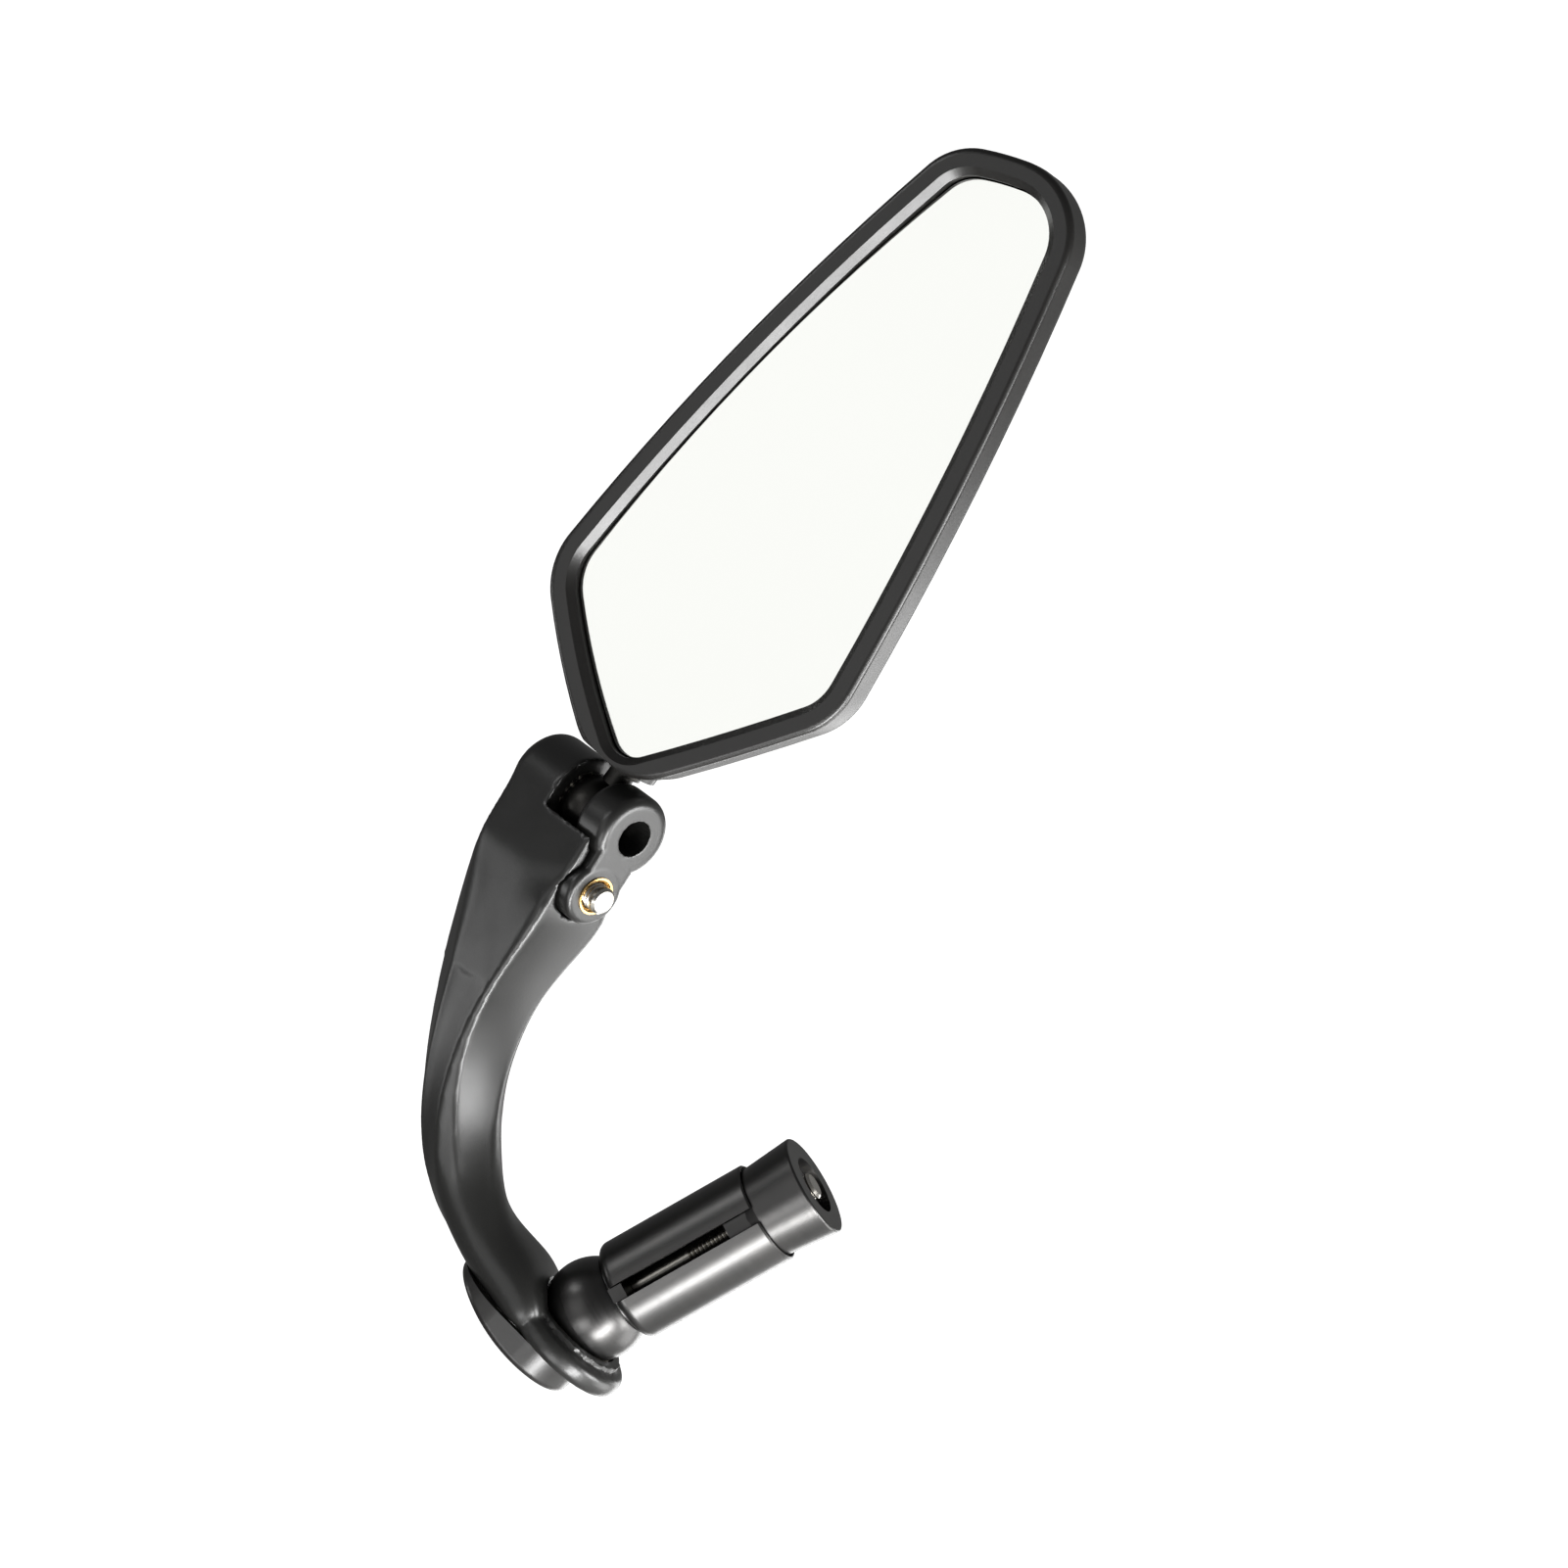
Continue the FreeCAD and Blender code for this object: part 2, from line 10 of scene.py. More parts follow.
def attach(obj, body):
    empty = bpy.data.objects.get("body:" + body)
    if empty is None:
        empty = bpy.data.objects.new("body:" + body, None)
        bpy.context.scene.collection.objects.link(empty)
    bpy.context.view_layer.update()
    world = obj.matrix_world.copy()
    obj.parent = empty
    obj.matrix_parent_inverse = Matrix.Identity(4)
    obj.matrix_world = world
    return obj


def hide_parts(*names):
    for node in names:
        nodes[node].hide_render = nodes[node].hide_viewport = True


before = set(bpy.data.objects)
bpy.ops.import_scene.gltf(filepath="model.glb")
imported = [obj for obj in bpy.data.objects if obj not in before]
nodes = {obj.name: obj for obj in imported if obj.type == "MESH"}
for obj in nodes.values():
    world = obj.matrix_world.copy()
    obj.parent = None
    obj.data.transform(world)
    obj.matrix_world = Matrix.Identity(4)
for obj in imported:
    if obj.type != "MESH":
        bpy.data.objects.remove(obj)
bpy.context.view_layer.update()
mm = 0.001
print("stage: frame loaded,", len(nodes), "nodes")


# small helpers
def linear(hexText):
    values = [int(hexText[i:i + 2], 16) / 255 for i in (1, 3, 5)]
    return [v / 12.92 if v <= 0.04045 else ((v + 0.055) / 1.055) ** 2.4 for v in values] + [1.0]


def addNode(tree, kind, settings=None, values=None, links=None):
    node = tree.nodes.new(kind)
    for name, value in (settings or {}).items():
        setattr(node, name, value)
    for name, value in (values or {}).items():
        node.inputs[name].default_value = value
    for name, source in (links or {}).items():
        tree.links.new(source, node.inputs[name])
    return node


def deselectAll():
    if bpy.context.object and bpy.context.object.mode != "OBJECT":
        bpy.ops.object.mode_set(mode="OBJECT")
    bpy.ops.object.select_all(action="DESELECT")


def makeActive(piece):
    deselectAll()
    piece.select_set(True)
    bpy.context.view_layer.objects.active = piece


def applyModifier(piece, kind, **settings):
    makeActive(piece)
    modifier = piece.modifiers.new(kind.lower(), kind)
    for name, value in settings.items():
        setattr(modifier, name, value)
    bpy.ops.object.modifier_apply(modifier=modifier.name)


def combine(piece, other, how):
    applyModifier(piece, "BOOLEAN", operation=how, object=other, solver="EXACT")
    bpy.data.objects.remove(other)


def axes(origin, xDir, zDir):
    z = Vector(zDir).normalized()
    x = (Vector(xDir) - z * z.dot(Vector(xDir))).normalized()
    y = z.cross(x)
    grid = Matrix((x, y, z)).transposed().to_4x4()
    return Matrix.Translation(origin) @ grid


def put(piece, place):
    piece.matrix_world = place @ piece.matrix_world
    makeActive(piece)
    bpy.ops.object.transform_apply(location=True, rotation=True, scale=True)


# the object's own directions, in millimetres, in the frame where the arm's plane stands upright
layout = {
    "lean": 15.3,                        # degrees that the arm's plane leans back
    "wallStart": 1.9,                    # the origin's distance from the sleeve's outboard end
    "ballCentre": (-5.8, 0.0, 0.0),      # swivel ball at the foot of the arm
    "studCentre": (39.3, 0.0, 75.2),     # mirror's ball stud in the clamp
    "pinchAxis": (0.43, -0.60, -0.674),  # the way the clamp's plate faces
    "armDown": (-0.877, -0.102, -0.47),  # from the clamp towards the blade
    "paddleTurn": 14.7,                  # degrees that the paddle's face is off square to the plug
}
lean = Matrix.Rotation(-math.radians(layout["lean"]), 4, "X")
toRow = Matrix.Scale(mm, 4) @ Matrix.Translation((-layout["wallStart"], 0, 0)) @ lean
pinch = Vector(layout["pinchAxis"]).normalized()
down = Vector(layout["armDown"])
down = (down - pinch * pinch.dot(down)).normalized()
facing = down.cross(pinch)
clampPlace = axes(Vector(layout["studCentre"]), facing, pinch)
turn = math.radians(layout["paddleTurn"])
paddleOut = Vector((-math.cos(turn), 0, -math.sin(turn)))
paddleUp = Vector((-math.sin(turn), 0, math.cos(turn)))
paddlePlace = axes(Vector(layout["ballCentre"]), paddleUp, paddleOut)
boltPlace = axes(Vector(layout["ballCentre"]), (0, 0, 1), (-1, 0, 0))


def cylinder(radius, start, end, place, sides=96):
    deselectAll()
    bpy.ops.mesh.primitive_cylinder_add(vertices=sides, radius=radius, depth=end - start,
                                        location=(0, 0, (start + end) / 2))
    piece = bpy.context.object
    put(piece, place)
    return piece


def block(low, high, place):
    deselectAll()
    middle = [(a + b) / 2 for a, b in zip(low, high)]
    bpy.ops.mesh.primitive_cube_add(size=1, location=middle, scale=[b - a for a, b in zip(low, high)])
    piece = bpy.context.object
    put(piece, place)
    return piece


def sphere(radius, place):
    deselectAll()
    bpy.ops.mesh.primitive_uv_sphere_add(segments=128, ring_count=64, radius=radius)
    piece = bpy.context.object
    put(piece, place)
    return piece


def slotBar(halfLength, halfWidth, start, end, place, middle=0.0):
    deselectAll()
    bpy.ops.mesh.primitive_cylinder_add(vertices=96, radius=halfWidth, depth=end - start,
                                        location=(0, 0, (start + end) / 2))
    piece = bpy.context.object
    stretch = halfLength - halfWidth
    for vertex in piece.data.vertices:
        vertex.co.x += stretch if vertex.co.x > 0 else -stretch
    piece.location.x = middle
    put(piece, place)
    return piece


def joinAll(pieces):
    deselectAll()
    for piece in pieces:
        piece.select_set(True)
    bpy.context.view_layer.objects.active = pieces[0]
    bpy.ops.object.join()
    return pieces[0]


def voxelUnion(piece, size):
    makeActive(piece)
    piece.data.remesh_voxel_size = size
    piece.data.remesh_voxel_adaptivity = 0
    bpy.ops.object.voxel_remesh()


# the arm, in millimetres
arm = {
    "voxel": 0.5,                        # mesh size of the moulded skin
    "soften": 7,                         # passes that round every edge to about a millimetre
    # x, z, heading, twist, u, w, v, crease, back, bevelU, bevelV, sharpness
    "stations": [
        (29.6, 71.6, 152, 37, 10.2, 15.0, 8.1, 1.0, 1.0, 2.4, 1.6, 1.0),
        (23.2, 68.2, 151, 37, 11.0, 13.8, 8.2, 0.8, 0.8, 4.6, 2.4, 1.0),
        (16.4, 63.9, 145, 37, 9.4, 12.8, 7.8, 0.6, 1.4, 7.0, 3.2, 1.0),
        (9.2, 58.6, 140, 38, 6.7, 11.2, 7.5, 0.7, 2.4, 6.6, 3.4, 1.0),
        (2.0, 52.9, 136, 39, 5.2, 9.2, 7.5, 0.9, 2.6, 5.8, 3.4, 1.0),
        (-5.0, 46.3, 128, 42, 4.9, 7.8, 7.2, 1.6, 2.8, 4.8, 3.4, 0.9),
        (-10.3, 39.4, 120, 46, 5.2, 6.6, 7.0, 2.6, 3.0, 3.8, 3.4, 0.5),
        (-14.2, 31.6, 106, 56, 5.8, 6.0, 6.6, 3.0, 3.2, 3.4, 3.2, 0.1),
        (-15.9, 25.4, 96, 72, 6.8, 6.8, 5.9, 3.0, 3.2, 3.2, 3.2, 0.0),
        (-16.0, 19.4, 90, 90, 8.2, 8.2, 5.3, 3.0, 3.0, 3.0, 3.0, 0.0),
        (-15.1, 13.6, 82, 90, 9.8, 9.8, 5.4, 3.0, 3.0, 3.0, 3.0, 0.0),
        (-14.4, 8.6, 77, 90, 11.2, 11.2, 5.0, 2.4, 2.4, 2.4, 2.4, 0.0),
        (-14.1, 1.6, 75.3, 90, 11.6, 11.6, 2.1, 1.0, 1.0, 1.0, 1.0, 0.0),
    ],
    "dish": 0.35, "swell": 0.2,          # hollow of the front face, and fullness of the others
    "heldCorners": {0: 0.6, 2: 1.0, 3: 1.0, 5: 0.9, 6: 0.9, 8: 0.6, 9: 0.6, 11: 0.6},
    "rootRing": 3,                       # the blade's ring that the jaw's root runs down to
    "rootDown": 9.0, "rootLeft": 5.8, "heelDown": 13.0, "heelBack": 1.2,
    "rearInset": 0.4, "rearShort": 1.6, "foreInset": 0.2, "foreShort": 0.3,
    "melt": {"middle": (0, 15, -4), "reach": 20.0, "fade": 10.0, "passes": 60},
    "jawRadius": 8.2, "jawBack": 15.4, "jawEdge": 2.0, "armFace": 10.2,
    "slotHalf": 3.4, "shoulder": 3.3, "jawPlay": 0.1, "platePlay": 0.35,
    "socket": 9.67, "socketRough": 9.07, "shell": 11.27, "shellFront": 4.5,
    "paddle": 12.6, "paddleFront": 5.7, "paddleBack": 10.0, "paddleEdge": 1.6,
    "boltSlot": (7.26, 4.0), "cupRecess": (7.65, 5.7),   # half length, half width
    "cap": (14.0, 10.5, 8.0),            # half length, half width, middle above the ball
}


def ringPoints(station):
    x, z, heading, twist, u, w, v, crease, back, bevelU, bevelV, sharp = station
    way = Vector((math.cos(math.radians(heading)), 0, -math.sin(math.radians(heading))))
    inner = Vector((-way.z, 0, way.x))
    front = Vector((0, -1, 0))
    twisted = math.radians(twist)
    uDir = inner * math.cos(twisted) + front * math.sin(twisted)
    vDir = front * math.cos(twisted) - inner * math.sin(twisted)
    middle = (u - w) / 2
    swell = arm["swell"]
    spots = [(u, -v + back), (u + swell, 0.0), (u, v - crease), (u - crease, v),
             (middle, v - arm["dish"]), (-w + bevelU, v), (-w, v - bevelV), (-w - swell, -0.1 * v),
             (-w, -v + back), (-w + back, -v), (middle, -v - swell), (u - back, -v)]
    return [Vector((x, 0, z)) + uDir * a + vDir * b for a, b in spots]


def armBlade():
    deselectAll()
    rings = [ringPoints(station) for station in arm["stations"]]
    bpy.ops.mesh.primitive_circle_add(vertices=12, radius=1, fill_type="NGON")
    piece = bpy.context.object
    bpy.ops.object.mode_set(mode="EDIT")
    mesh = bmesh.from_edit_mesh(piece.data)
    for vertex, spot in zip(mesh.verts, rings[0]):
        vertex.co = spot
    bpy.ops.mesh.select_all(action="SELECT")
    for ring in rings[1:]:
        bpy.ops.mesh.extrude_region_move()
        mesh = bmesh.from_edit_mesh(piece.data)
        chosen = sorted((v for v in mesh.verts if v.select), key=lambda v: v.index)
        for vertex, spot in zip(chosen, ring):
            vertex.co = spot
        bmesh.update_edit_mesh(piece.data)
    mesh = bmesh.from_edit_mesh(piece.data)
    floats = mesh.edges.layers.float
    creaseLayer = floats.get("crease_edge") or floats.new("crease_edge")
    for edge in mesh.edges:              # the lengthwise edges hold their corners, less so low down
        a, b = sorted(v.index for v in edge.verts)
        if b - a == 12:
            sharp = arm["stations"][a // 12][11]
            edge[creaseLayer] = arm["heldCorners"].get(a % 12, 0.0) * sharp
    bmesh.update_edit_mesh(piece.data)
    bpy.ops.mesh.select_all(action="SELECT")
    bpy.ops.mesh.normals_make_consistent(inside=False)
    bpy.ops.object.mode_set(mode="OBJECT")
    applyModifier(piece, "SUBSURF", levels=3, render_levels=3)
    return piece


def jawRoot():
    # one taut skin over the back of the jaw, the clamp's shoulder and a ring of the blade
    rear = cylinder(arm["jawRadius"] - arm["rearInset"], -arm["jawBack"] + arm["rearShort"], 0, clampPlace)
    heel = block((-arm["jawRadius"], 0, arm["heelBack"] - arm["jawBack"]),
                 (arm["jawRadius"], arm["heelDown"], 0), clampPlace)
    foreTop = (arm["jawRadius"] - arm["foreInset"], arm["rootDown"], arm["armFace"] - arm["foreShort"])
    fore = block((-arm["rootLeft"], 2, -1), foreTop, clampPlace)
    bpy.ops.mesh.primitive_circle_add(vertices=12, radius=1, fill_type="NGON")
    ring = bpy.context.object
    for vertex, spot in zip(ring.data.vertices, ringPoints(arm["stations"][arm["rootRing"]])):
        vertex.co = spot
    piece = joinAll([rear, heel, fore, ring])
    makeActive(piece)
    bpy.ops.object.mode_set(mode="EDIT")
    bpy.ops.mesh.select_all(action="SELECT")
    bpy.ops.mesh.convex_hull()
    bpy.ops.object.mode_set(mode="OBJECT")
    return piece


def softenRoot(piece):
    # the blade melts into the jaw before the clamp's slot is cut, so the slot's lips stay crisp
    melt = arm["melt"]
    group = piece.vertex_groups.new(name="root")
    toClamp = clampPlace.inverted()
    for vertex in piece.data.vertices:
        away = (toClamp @ vertex.co - Vector(melt["middle"])).length
        weight = min(1.0, max(0.0, (melt["reach"] - away) / melt["fade"]))
        if weight > 0:
            group.add([vertex.index], weight, "REPLACE")
    applyModifier(piece, "SMOOTH", factor=0.5, iterations=melt["passes"], vertex_group="root")
    piece.vertex_groups.clear()


def makeArm():
    ballPlace = Matrix.Translation(Vector(layout["ballCentre"]))
    blade = armBlade()
    jaw = cylinder(arm["jawRadius"], -arm["jawBack"], arm["armFace"], clampPlace)
    applyModifier(jaw, "BEVEL", width=arm["jawEdge"], segments=4, limit_method="ANGLE")
    root = jawRoot()
    shell = sphere(arm["shell"], ballPlace)
    paddle = cylinder(arm["paddle"], arm["paddleFront"], arm["paddleBack"], paddlePlace)
    applyModifier(paddle, "BEVEL", width=arm["paddleEdge"], segments=4, limit_method="ANGLE")
    combine(shell, block((-20, -20, arm["shellFront"]), (20, 20, 20), paddlePlace), "INTERSECT")
    piece = joinAll([blade, jaw, root, shell, paddle])
    piece.name = "moulded_arm"
    voxelUnion(piece, arm["voxel"])
    softenRoot(piece)
    capLength, capWidth, capMiddle = arm["cap"]
    capSeat = slotBar(capLength, capWidth, arm["paddleBack"], 40, paddlePlace, capMiddle)
    combine(piece, capSeat, "DIFFERENCE")
    slot = joinAll([block((-20, -20, -arm["slotHalf"]), (20, arm["shoulder"], 20), clampPlace),
                    cylinder(arm["jawRadius"] + arm["jawPlay"], 0.05 - arm["slotHalf"], 20, clampPlace),
                    *plateParts(arm["platePlay"], arm["slotHalf"], 20)])
    voxelUnion(slot, arm["voxel"])
    combine(piece, slot, "DIFFERENCE")
    combine(piece, sphere(arm["socketRough"], ballPlace), "DIFFERENCE")
    combine(piece, slotBar(*arm["boltSlot"], 0, 30, boltPlace), "DIFFERENCE")
    voxelUnion(piece, arm["voxel"])
    applyModifier(piece, "SMOOTH", factor=0.5, iterations=arm["soften"])
    # after the softening, the seats that other parts run in are cut again, crisp
    combine(piece, sphere(arm["socket"], ballPlace), "DIFFERENCE")
    recess = slotBar(*arm["cupRecess"], 0, 30, boltPlace)
    combine(recess, sphere(arm["shell"], ballPlace), "DIFFERENCE")
    combine(piece, recess, "DIFFERENCE")
    put(piece, toRow)
    return piece


# the clamp's outer plate, in millimetres
plate = {
    "lobe": 7.5, "foot": 5.8, "footDown": 11.8, "footAcross": 1.0,   # two round lobes
    "webLeft": 4.2, "webRight": 5.6, "face": 11.6,
    "hole": 3.25, "insert": 3.5, "ballSeat": 6.08,
    "rounding": (1.8, 1.0, 1.0), "voxel": 0.25, "soften": 6,
}


def plateParts(grow, start, end):
    # the lower ends are stepped a little, so that no two faces lie in one plane
    foot = Matrix.Translation((plate["footAcross"], plate["footDown"], 0))
    return [cylinder(plate["lobe"] + grow, start + 0.02, end, clampPlace),
            cylinder(plate["foot"] + grow, start + 0.04, end + 0.02, clampPlace @ foot),
            block((-plate["webLeft"] - grow, 2, start + 0.06),
                  (plate["webRight"] + grow, plate["footDown"], end - 0.02), clampPlace)]


def makePlate():
    foot = Matrix.Translation((plate["footAcross"], plate["footDown"], 0))
    parts = plateParts(0, arm["slotHalf"], plate["face"])
    for part, width in zip(parts, plate["rounding"]):
        applyModifier(part, "BEVEL", width=width, segments=6, limit_method="ANGLE")
    piece = joinAll(parts)
    piece.name = "moulded_plate"
    voxelUnion(piece, plate["voxel"])
    combine(piece, cylinder(plate["hole"], 0, 20, clampPlace), "DIFFERENCE")
    applyModifier(piece, "SMOOTH", factor=0.5, iterations=plate["soften"])
    combine(piece, sphere(plate["ballSeat"], clampPlace), "DIFFERENCE")
    combine(piece, cylinder(plate["insert"], 0, 20, clampPlace @ foot), "DIFFERENCE")
    put(piece, toRow)
    return piece


def finishSurface(piece, angle=35):
    makeActive(piece)
    bpy.ops.object.mode_set(mode="EDIT")
    bpy.ops.mesh.select_all(action="SELECT")
    bpy.ops.mesh.remove_doubles(threshold=1e-6)
    bpy.ops.mesh.normals_make_consistent(inside=False)
    bpy.ops.object.mode_set(mode="OBJECT")
    bpy.ops.object.shade_smooth_by_angle(angle=math.radians(angle))


armPiece = makeArm()
finishSurface(armPiece)
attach(armPiece, "arm")
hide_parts("arm")
print("stage: arm,", len(armPiece.data.polygons), "faces")
platePiece = makePlate()
finishSurface(platePiece)
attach(platePiece, "arm")
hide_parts("clamp_plate")
print("stage: clamp plate,", len(platePiece.data.polygons), "faces")


def blankMaterial(name):
    material = bpy.data.materials.new(name)
    material.use_nodes = True
    material.node_tree.nodes.clear()
    return material


def mouldedPlastic(name, look):
    material = blankMaterial(name)
    tree = material.node_tree
    place = addNode(tree, "ShaderNodeTexCoord").outputs["Object"]
    mottle = addNode(tree, "ShaderNodeTexNoise", None,
                     {"Scale": 1 / (look["mottleMm"] * mm), "Detail": 4.0}, {"Vector": place})
    colour = addNode(tree, "ShaderNodeMix", {"data_type": "RGBA"}, None, {"Factor": mottle.outputs["Fac"]})
    colour.inputs[6].default_value = linear(look["colour"])
    colour.inputs[7].default_value = linear(look["paler"])
    grain = addNode(tree, "ShaderNodeTexNoise", None,
                    {"Scale": 1 / (look["grainMm"] * mm), "Detail": 3.0, "Roughness": 0.6},
                    {"Vector": place})
    rough = addNode(tree, "ShaderNodeMapRange", None,
                    {"To Min": look["rough"] - 0.05, "To Max": look["rough"] + 0.06},
                    {"Value": mottle.outputs["Fac"]})
    bump = addNode(tree, "ShaderNodeBump", None,
                   {"Strength": look["bump"], "Distance": look["grainDepthMm"] * mm},
                   {"Height": grain.outputs["Fac"]})
    shader = addNode(tree, "ShaderNodeBsdfPrincipled", None, {"IOR": look["ior"]},
                     {"Base Color": colour.outputs[2], "Roughness": rough.outputs["Result"],
                      "Normal": bump.outputs["Normal"]})
    addNode(tree, "ShaderNodeOutputMaterial", None, None, {"Surface": shader.outputs["BSDF"]})
    return material


def turnedMetal(name, look):
    material = blankMaterial(name)
    tree = material.node_tree
    place = addNode(tree, "ShaderNodeTexCoord").outputs["Object"]
    lineScale = [1 / (look["lineMm"] * mm) if axis == look["along"] else 40.0 for axis in "XYZ"]
    stretched = addNode(tree, "ShaderNodeMapping", None, {"Scale": lineScale}, {"Vector": place})
    lines = addNode(tree, "ShaderNodeTexNoise", None, {"Scale": 1.0, "Detail": 3.0},
                    {"Vector": stretched.outputs["Vector"]})
    cloud = addNode(tree, "ShaderNodeTexNoise", None,
                    {"Scale": 1 / (look["cloudMm"] * mm), "Detail": 5.0}, {"Vector": place})
    colour = addNode(tree, "ShaderNodeMix", {"data_type": "RGBA"}, None, {"Factor": cloud.outputs["Fac"]})
    colour.inputs[6].default_value = linear(look["colour"])
    colour.inputs[7].default_value = linear(look["paler"])
    rough = addNode(tree, "ShaderNodeMapRange", None,
                    {"To Min": look["rough"] - 0.06, "To Max": look["rough"] + 0.08},
                    {"Value": lines.outputs["Fac"]})
    bump = addNode(tree, "ShaderNodeBump", None,
                   {"Strength": look["bump"], "Distance": look["lineDepthMm"] * mm},
                   {"Height": lines.outputs["Fac"]})
    shader = addNode(tree, "ShaderNodeBsdfPrincipled", None, {"Metallic": 1.0},
                     {"Base Color": colour.outputs[2], "Roughness": rough.outputs["Result"],
                      "Normal": bump.outputs["Normal"]})
    addNode(tree, "ShaderNodeOutputMaterial", None, None, {"Surface": shader.outputs["BSDF"]})
    return material


# grain and turning lines are finer than this on the real parts; they are drawn coarse enough to show
finishes = {
    # injection-moulded nylon with glass fibre: near-black satin, soft cloudy sheen and a faint orange peel
    "glassFilledNylon": mouldedPlastic("glassFilledNylon", {
        "colour": "#151514", "paler": "#1a1a19", "mottleMm": 9.0, "grainMm": 0.45, "grainDepthMm": 0.05,
        "bump": 0.25, "rough": 0.33, "ior": 1.53}),
    # moulded ABS: a touch warmer and smoother black than the arm
    "mouldedAbs": mouldedPlastic("mouldedAbs", {
        "colour": "#131211", "paler": "#171615", "mottleMm": 12.0, "grainMm": 0.35, "grainDepthMm": 0.04,
        "bump": 0.2, "rough": 0.33, "ior": 1.53}),
    # moulded acetal: milky, waxy bearing plastic
    "mouldedAcetal": mouldedPlastic("mouldedAcetal", {
        "colour": "#cfc9ba", "paler": "#d8d2c4", "mottleMm": 3.0, "grainMm": 0.3, "grainDepthMm": 0.03,
        "bump": 0.2, "rough": 0.35, "ior": 1.48}),
    # die-cut foam: matt black with open pits
    "closedCellFoam": mouldedPlastic("closedCellFoam", {
        "colour": "#1c1c1c", "paler": "#2a2a2a", "mottleMm": 2.0, "grainMm": 0.5, "grainDepthMm": 0.3,
        "bump": 0.8, "rough": 0.85, "ior": 1.45}),
    # turned, then anodised black: grey-black metal that draws light into long soft bands
    "blackAnodisedAluminium": turnedMetal("blackAnodisedAluminium", {
        "colour": "#464646", "paler": "#4e4d4c", "lineMm": 0.25, "along": "X", "cloudMm": 6.0,
        "lineDepthMm": 0.02, "bump": 0.25, "rough": 0.32}),
    # zinc-plated steel: bright, slightly warm and cloudy
    "zincPlatedSteel": turnedMetal("zincPlatedSteel", {
        "colour": "#a09d97", "paler": "#bbb8b1", "lineMm": 0.3, "along": "X", "cloudMm": 2.0,
        "lineDepthMm": 0.02, "bump": 0.2, "rough": 0.24}),
    # chemically blacked steel: dark brown-black with an oily gloss
    "blackOxideSteel": turnedMetal("blackOxideSteel", {
        "colour": "#2c2b2a", "paler": "#3a3937", "lineMm": 0.3, "along": "X", "cloudMm": 3.0,
        "lineDepthMm": 0.02, "bump": 0.2, "rough": 0.38}),
    # tempered spring steel: blue-grey heat colour
    "bluedSpringSteel": turnedMetal("bluedSpringSteel", {
        "colour": "#3d4350", "paler": "#565a60", "lineMm": 0.3, "along": "Y", "cloudMm": 2.0,
        "lineDepthMm": 0.02, "bump": 0.2, "rough": 0.3}),
    # turned brass: yellow, bright on its edges
    "turnedBrass": turnedMetal("turnedBrass", {
        "colour": "#c9a25e", "paler": "#dfc08a", "lineMm": 0.3, "along": "Z", "cloudMm": 2.0,
        "lineDepthMm": 0.02, "bump": 0.2, "rough": 0.25}),
    # convex glass silvered behind: a clean, nearly white mirror
    "silveredGlass": turnedMetal("silveredGlass", {
        "colour": "#f4f5f1", "paler": "#f6f7f3", "lineMm": 60.0, "along": "X", "cloudMm": 60.0,
        "lineDepthMm": 0.0, "bump": 0.0, "rough": 0.08}),
}
worn = {
    "arm_end_cap": "mouldedAbs", "ball_liner": "mouldedAcetal", "ball_stud": "blackOxideSteel",
    "bezel": "mouldedAbs", "clamp_insert": "turnedBrass", "clamp_screw": "zincPlatedSteel",
    "expander_bolt": "zincPlatedSteel", "expander_cone": "blackAnodisedAluminium",
    "expander_nut": "zincPlatedSteel", "expander_sleeve": "blackAnodisedAluminium",
    "foam_pad": "closedCellFoam", "housing": "mouldedAbs", "jaw_seat": "mouldedAcetal",
    "mirror_glass": "silveredGlass", "neck_bush": "mouldedAcetal", "neck_nut": "zincPlatedSteel",
    "neck_spring": "bluedSpringSteel", "neck_washer": "zincPlatedSteel",
    "plug_ball": "blackAnodisedAluminium", "pressure_cup": "zincPlatedSteel",
    "arm": "glassFilledNylon", "clamp_plate": "glassFilledNylon",
}
for name, finish in worn.items():
    nodes[name].data.materials.clear()
    nodes[name].data.materials.append(finishes[finish])
for piece in (armPiece, platePiece):
    piece.data.materials.clear()
    piece.data.materials.append(finishes["glassFilledNylon"])
print("stage: finishes")

# studio
studio = {
    "floorDrop": 0.35, "floorSize": 30.0, "roomGlow": 0.16, "floorGlow": 0.03,
    # name, place and aim in metres, width, height, watts; each stands where a face of the mirror,
    # the arm or the plug throws it back towards the camera
    "lights": [
        ("mirrorCard", (-0.62, -1.15, 1.15), (0.09, 0.03, 0.10), 1.1, 1.1, 3.4),
        ("frontBox", (-0.55, -1.05, 0.02), (0.0, 0.0, 0.03), 0.6, 0.4, 4.5),
        ("lowFront", (0.02, -0.40, -0.26), (0.06, 0.0, 0.05), 0.40, 0.11, 5.0),
        ("underBox", (0.06, 0.01, -0.22), (-0.012, 0.0, 0.035), 0.14, 0.14, 0.25),
        ("sideBox", (0.27, -0.14, -0.27), (-0.012, 0.0, 0.035), 0.18, 0.18, 1.8),
        ("leftBox", (-0.56, 0.07, 0.47), (0.0, 0.0, 0.05), 0.22, 0.22, 0.55),
        ("topBox", (-0.15, -0.12, 0.92), (0.02, 0.0, 0.0), 0.30, 0.16, 0.9),
        ("backLow", (0.0, 0.30, -0.31), (0.05, 0.0, 0.02), 0.45, 0.16, 0.9),
    ],
}
deselectAll()
bpy.ops.mesh.primitive_plane_add(size=studio["floorSize"], location=(0, 0, -studio["floorDrop"]))
floor = bpy.context.object
floor.name = "floor"
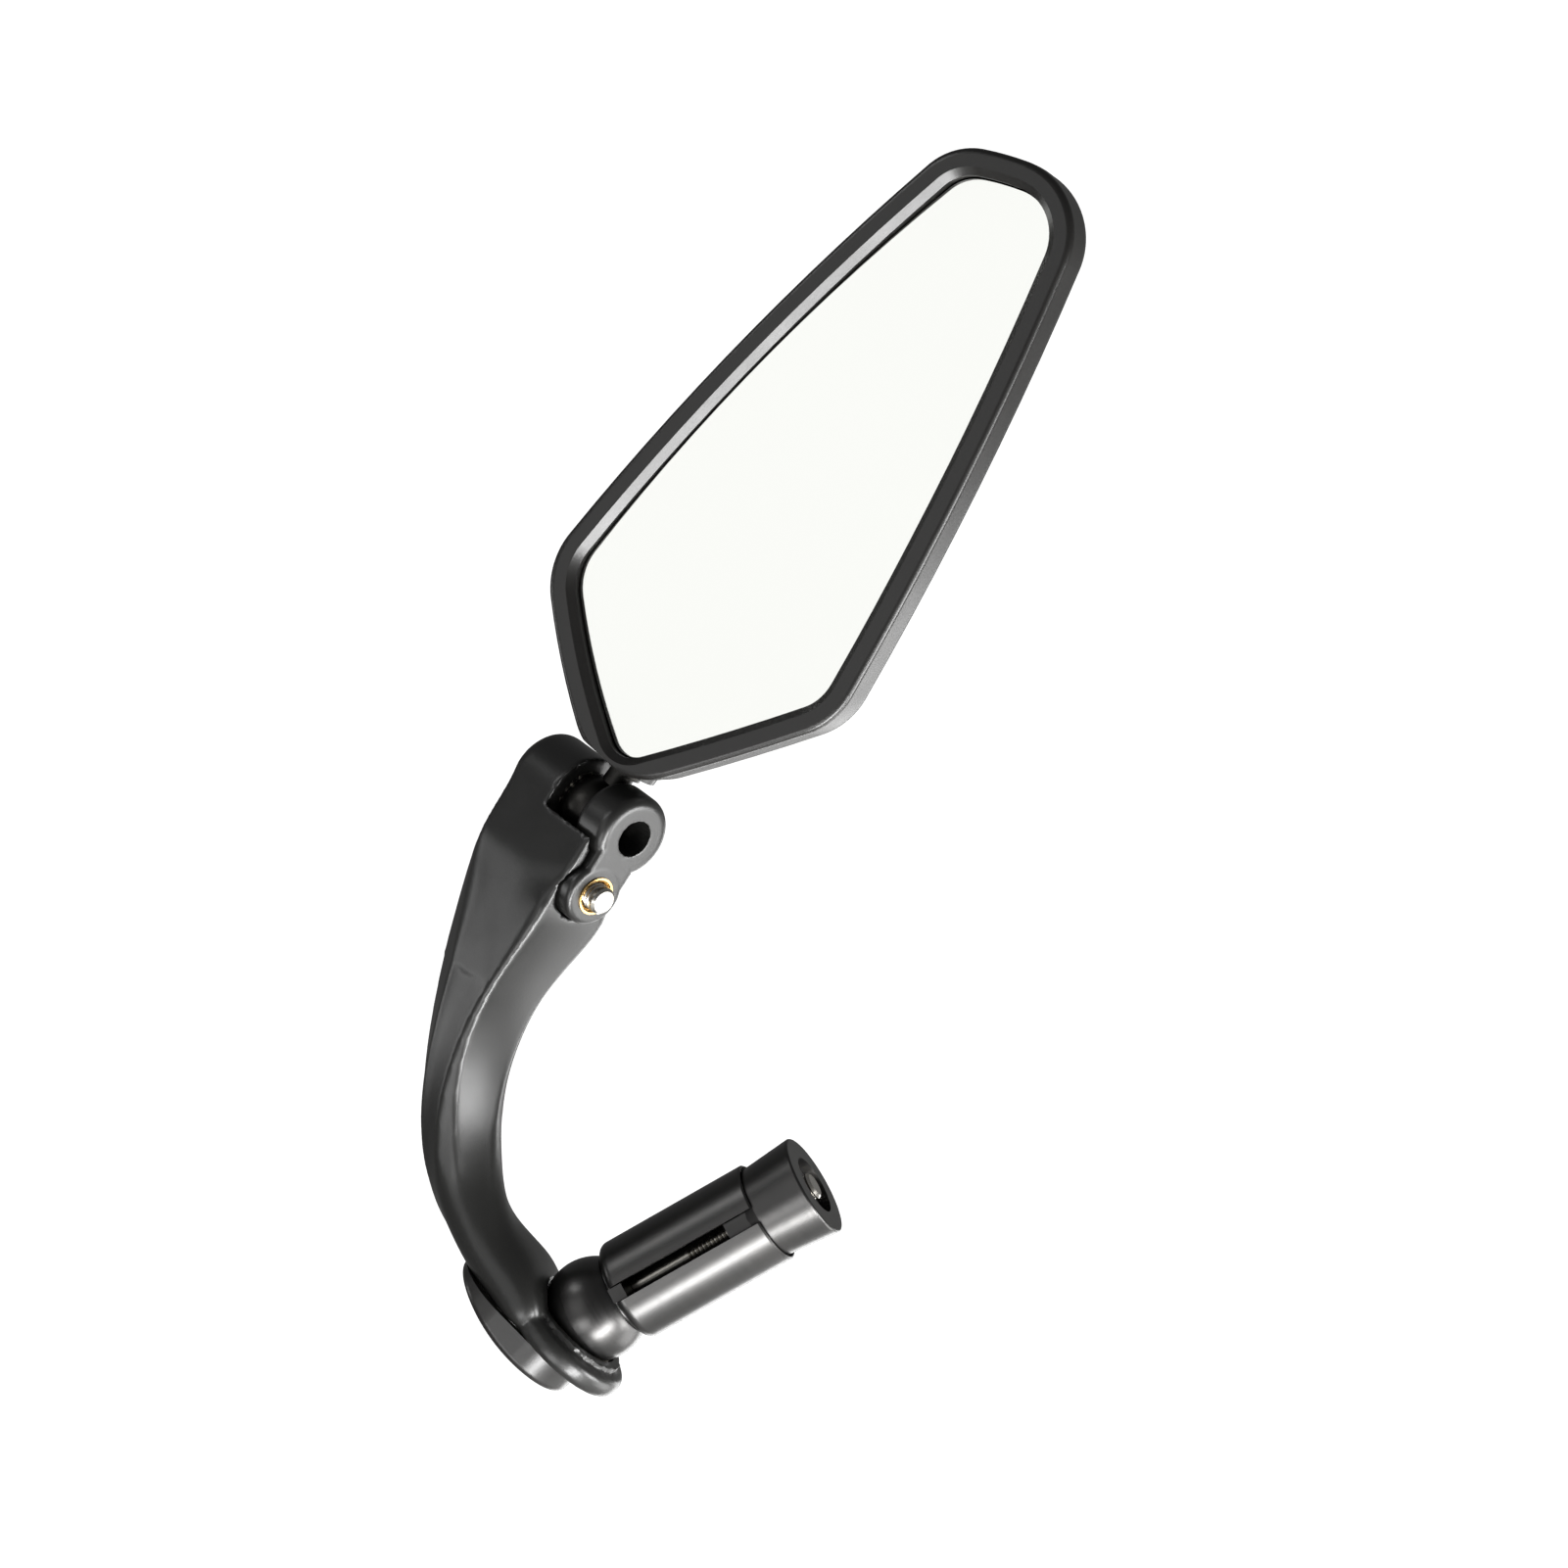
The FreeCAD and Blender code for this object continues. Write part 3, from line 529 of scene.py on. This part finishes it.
paint = mouldedPlastic("paintedFloor", {
    "colour": "#f4f4f2", "paler": "#f7f7f5", "mottleMm": 300.0, "grainMm": 3.0, "grainDepthMm": 0.1,
    "bump": 0.1, "rough": 0.9, "ior": 1.45})
floorShader = paint.node_tree.nodes["Principled BSDF"]
floorShader.inputs["Emission Color"].default_value = linear("#ffffff")
seen = addNode(paint.node_tree, "ShaderNodeLightPath").outputs["Is Camera Ray"]
glow = addNode(paint.node_tree, "ShaderNodeMapRange", None,
               {"To Min": studio["floorGlow"], "To Max": 1.0}, {"Value": seen})
paint.node_tree.links.new(glow.outputs["Result"], floorShader.inputs["Emission Strength"])
floor.data.materials.append(paint)
for name, place, aim, width, height, watts in studio["lights"]:
    data = bpy.data.lights.new(name, "AREA")
    data.shape = "RECTANGLE"
    data.size = width
    data.size_y = height
    data.energy = watts
    light = bpy.data.objects.new(name, data)
    light.location = place
    light.rotation_euler = (Vector(aim) - Vector(place)).to_track_quat("-Z", "Y").to_euler()
    light.visible_camera = False
    bpy.context.scene.collection.objects.link(light)
world = bpy.data.worlds.new("studio")
bpy.context.scene.world = world
world.use_nodes = True
sky = world.node_tree
sky.nodes.clear()
isSeen = addNode(sky, "ShaderNodeLightPath").outputs["Is Camera Ray"]
glow = addNode(sky, "ShaderNodeMapRange", None,
               {"To Min": studio["roomGlow"], "To Max": 1.0}, {"Value": isSeen})
room = addNode(sky, "ShaderNodeBackground", None, {"Color": linear("#ffffff")},
               {"Strength": glow.outputs["Result"]})
addNode(sky, "ShaderNodeOutputWorld", None, None, {"Surface": room.outputs["Background"]})
bpy.context.scene.view_settings.view_transform = "Standard"

# camera
view = {
    "right": (0.8458, 0.03413, -0.53237), "up": (0.4942, 0.32563, 0.80604),
    "back": (0.2008, -0.94498, 0.25852),
    "aimRight": 27.96, "aimUp": 88.94, "distance": 1027.0,   # millimetres
    "lens": 135.0,
}
right, up, back = Vector(view["right"]), Vector(view["up"]), Vector(view["back"])
camera = bpy.data.objects.new("camera", bpy.data.cameras.new("camera"))
camera.data.lens = view["lens"]
camera.data.clip_end = 100
grid = Matrix((right, up, back)).transposed().to_4x4()
aimPoint = (right * view["aimRight"] + up * view["aimUp"] + back * view["distance"]) * mm
aimPoint.x -= layout["wallStart"] * mm
camera.matrix_world = Matrix.Translation(aimPoint) @ grid
bpy.context.scene.collection.objects.link(camera)
bpy.context.scene.camera = camera
print("stage: studio and camera")
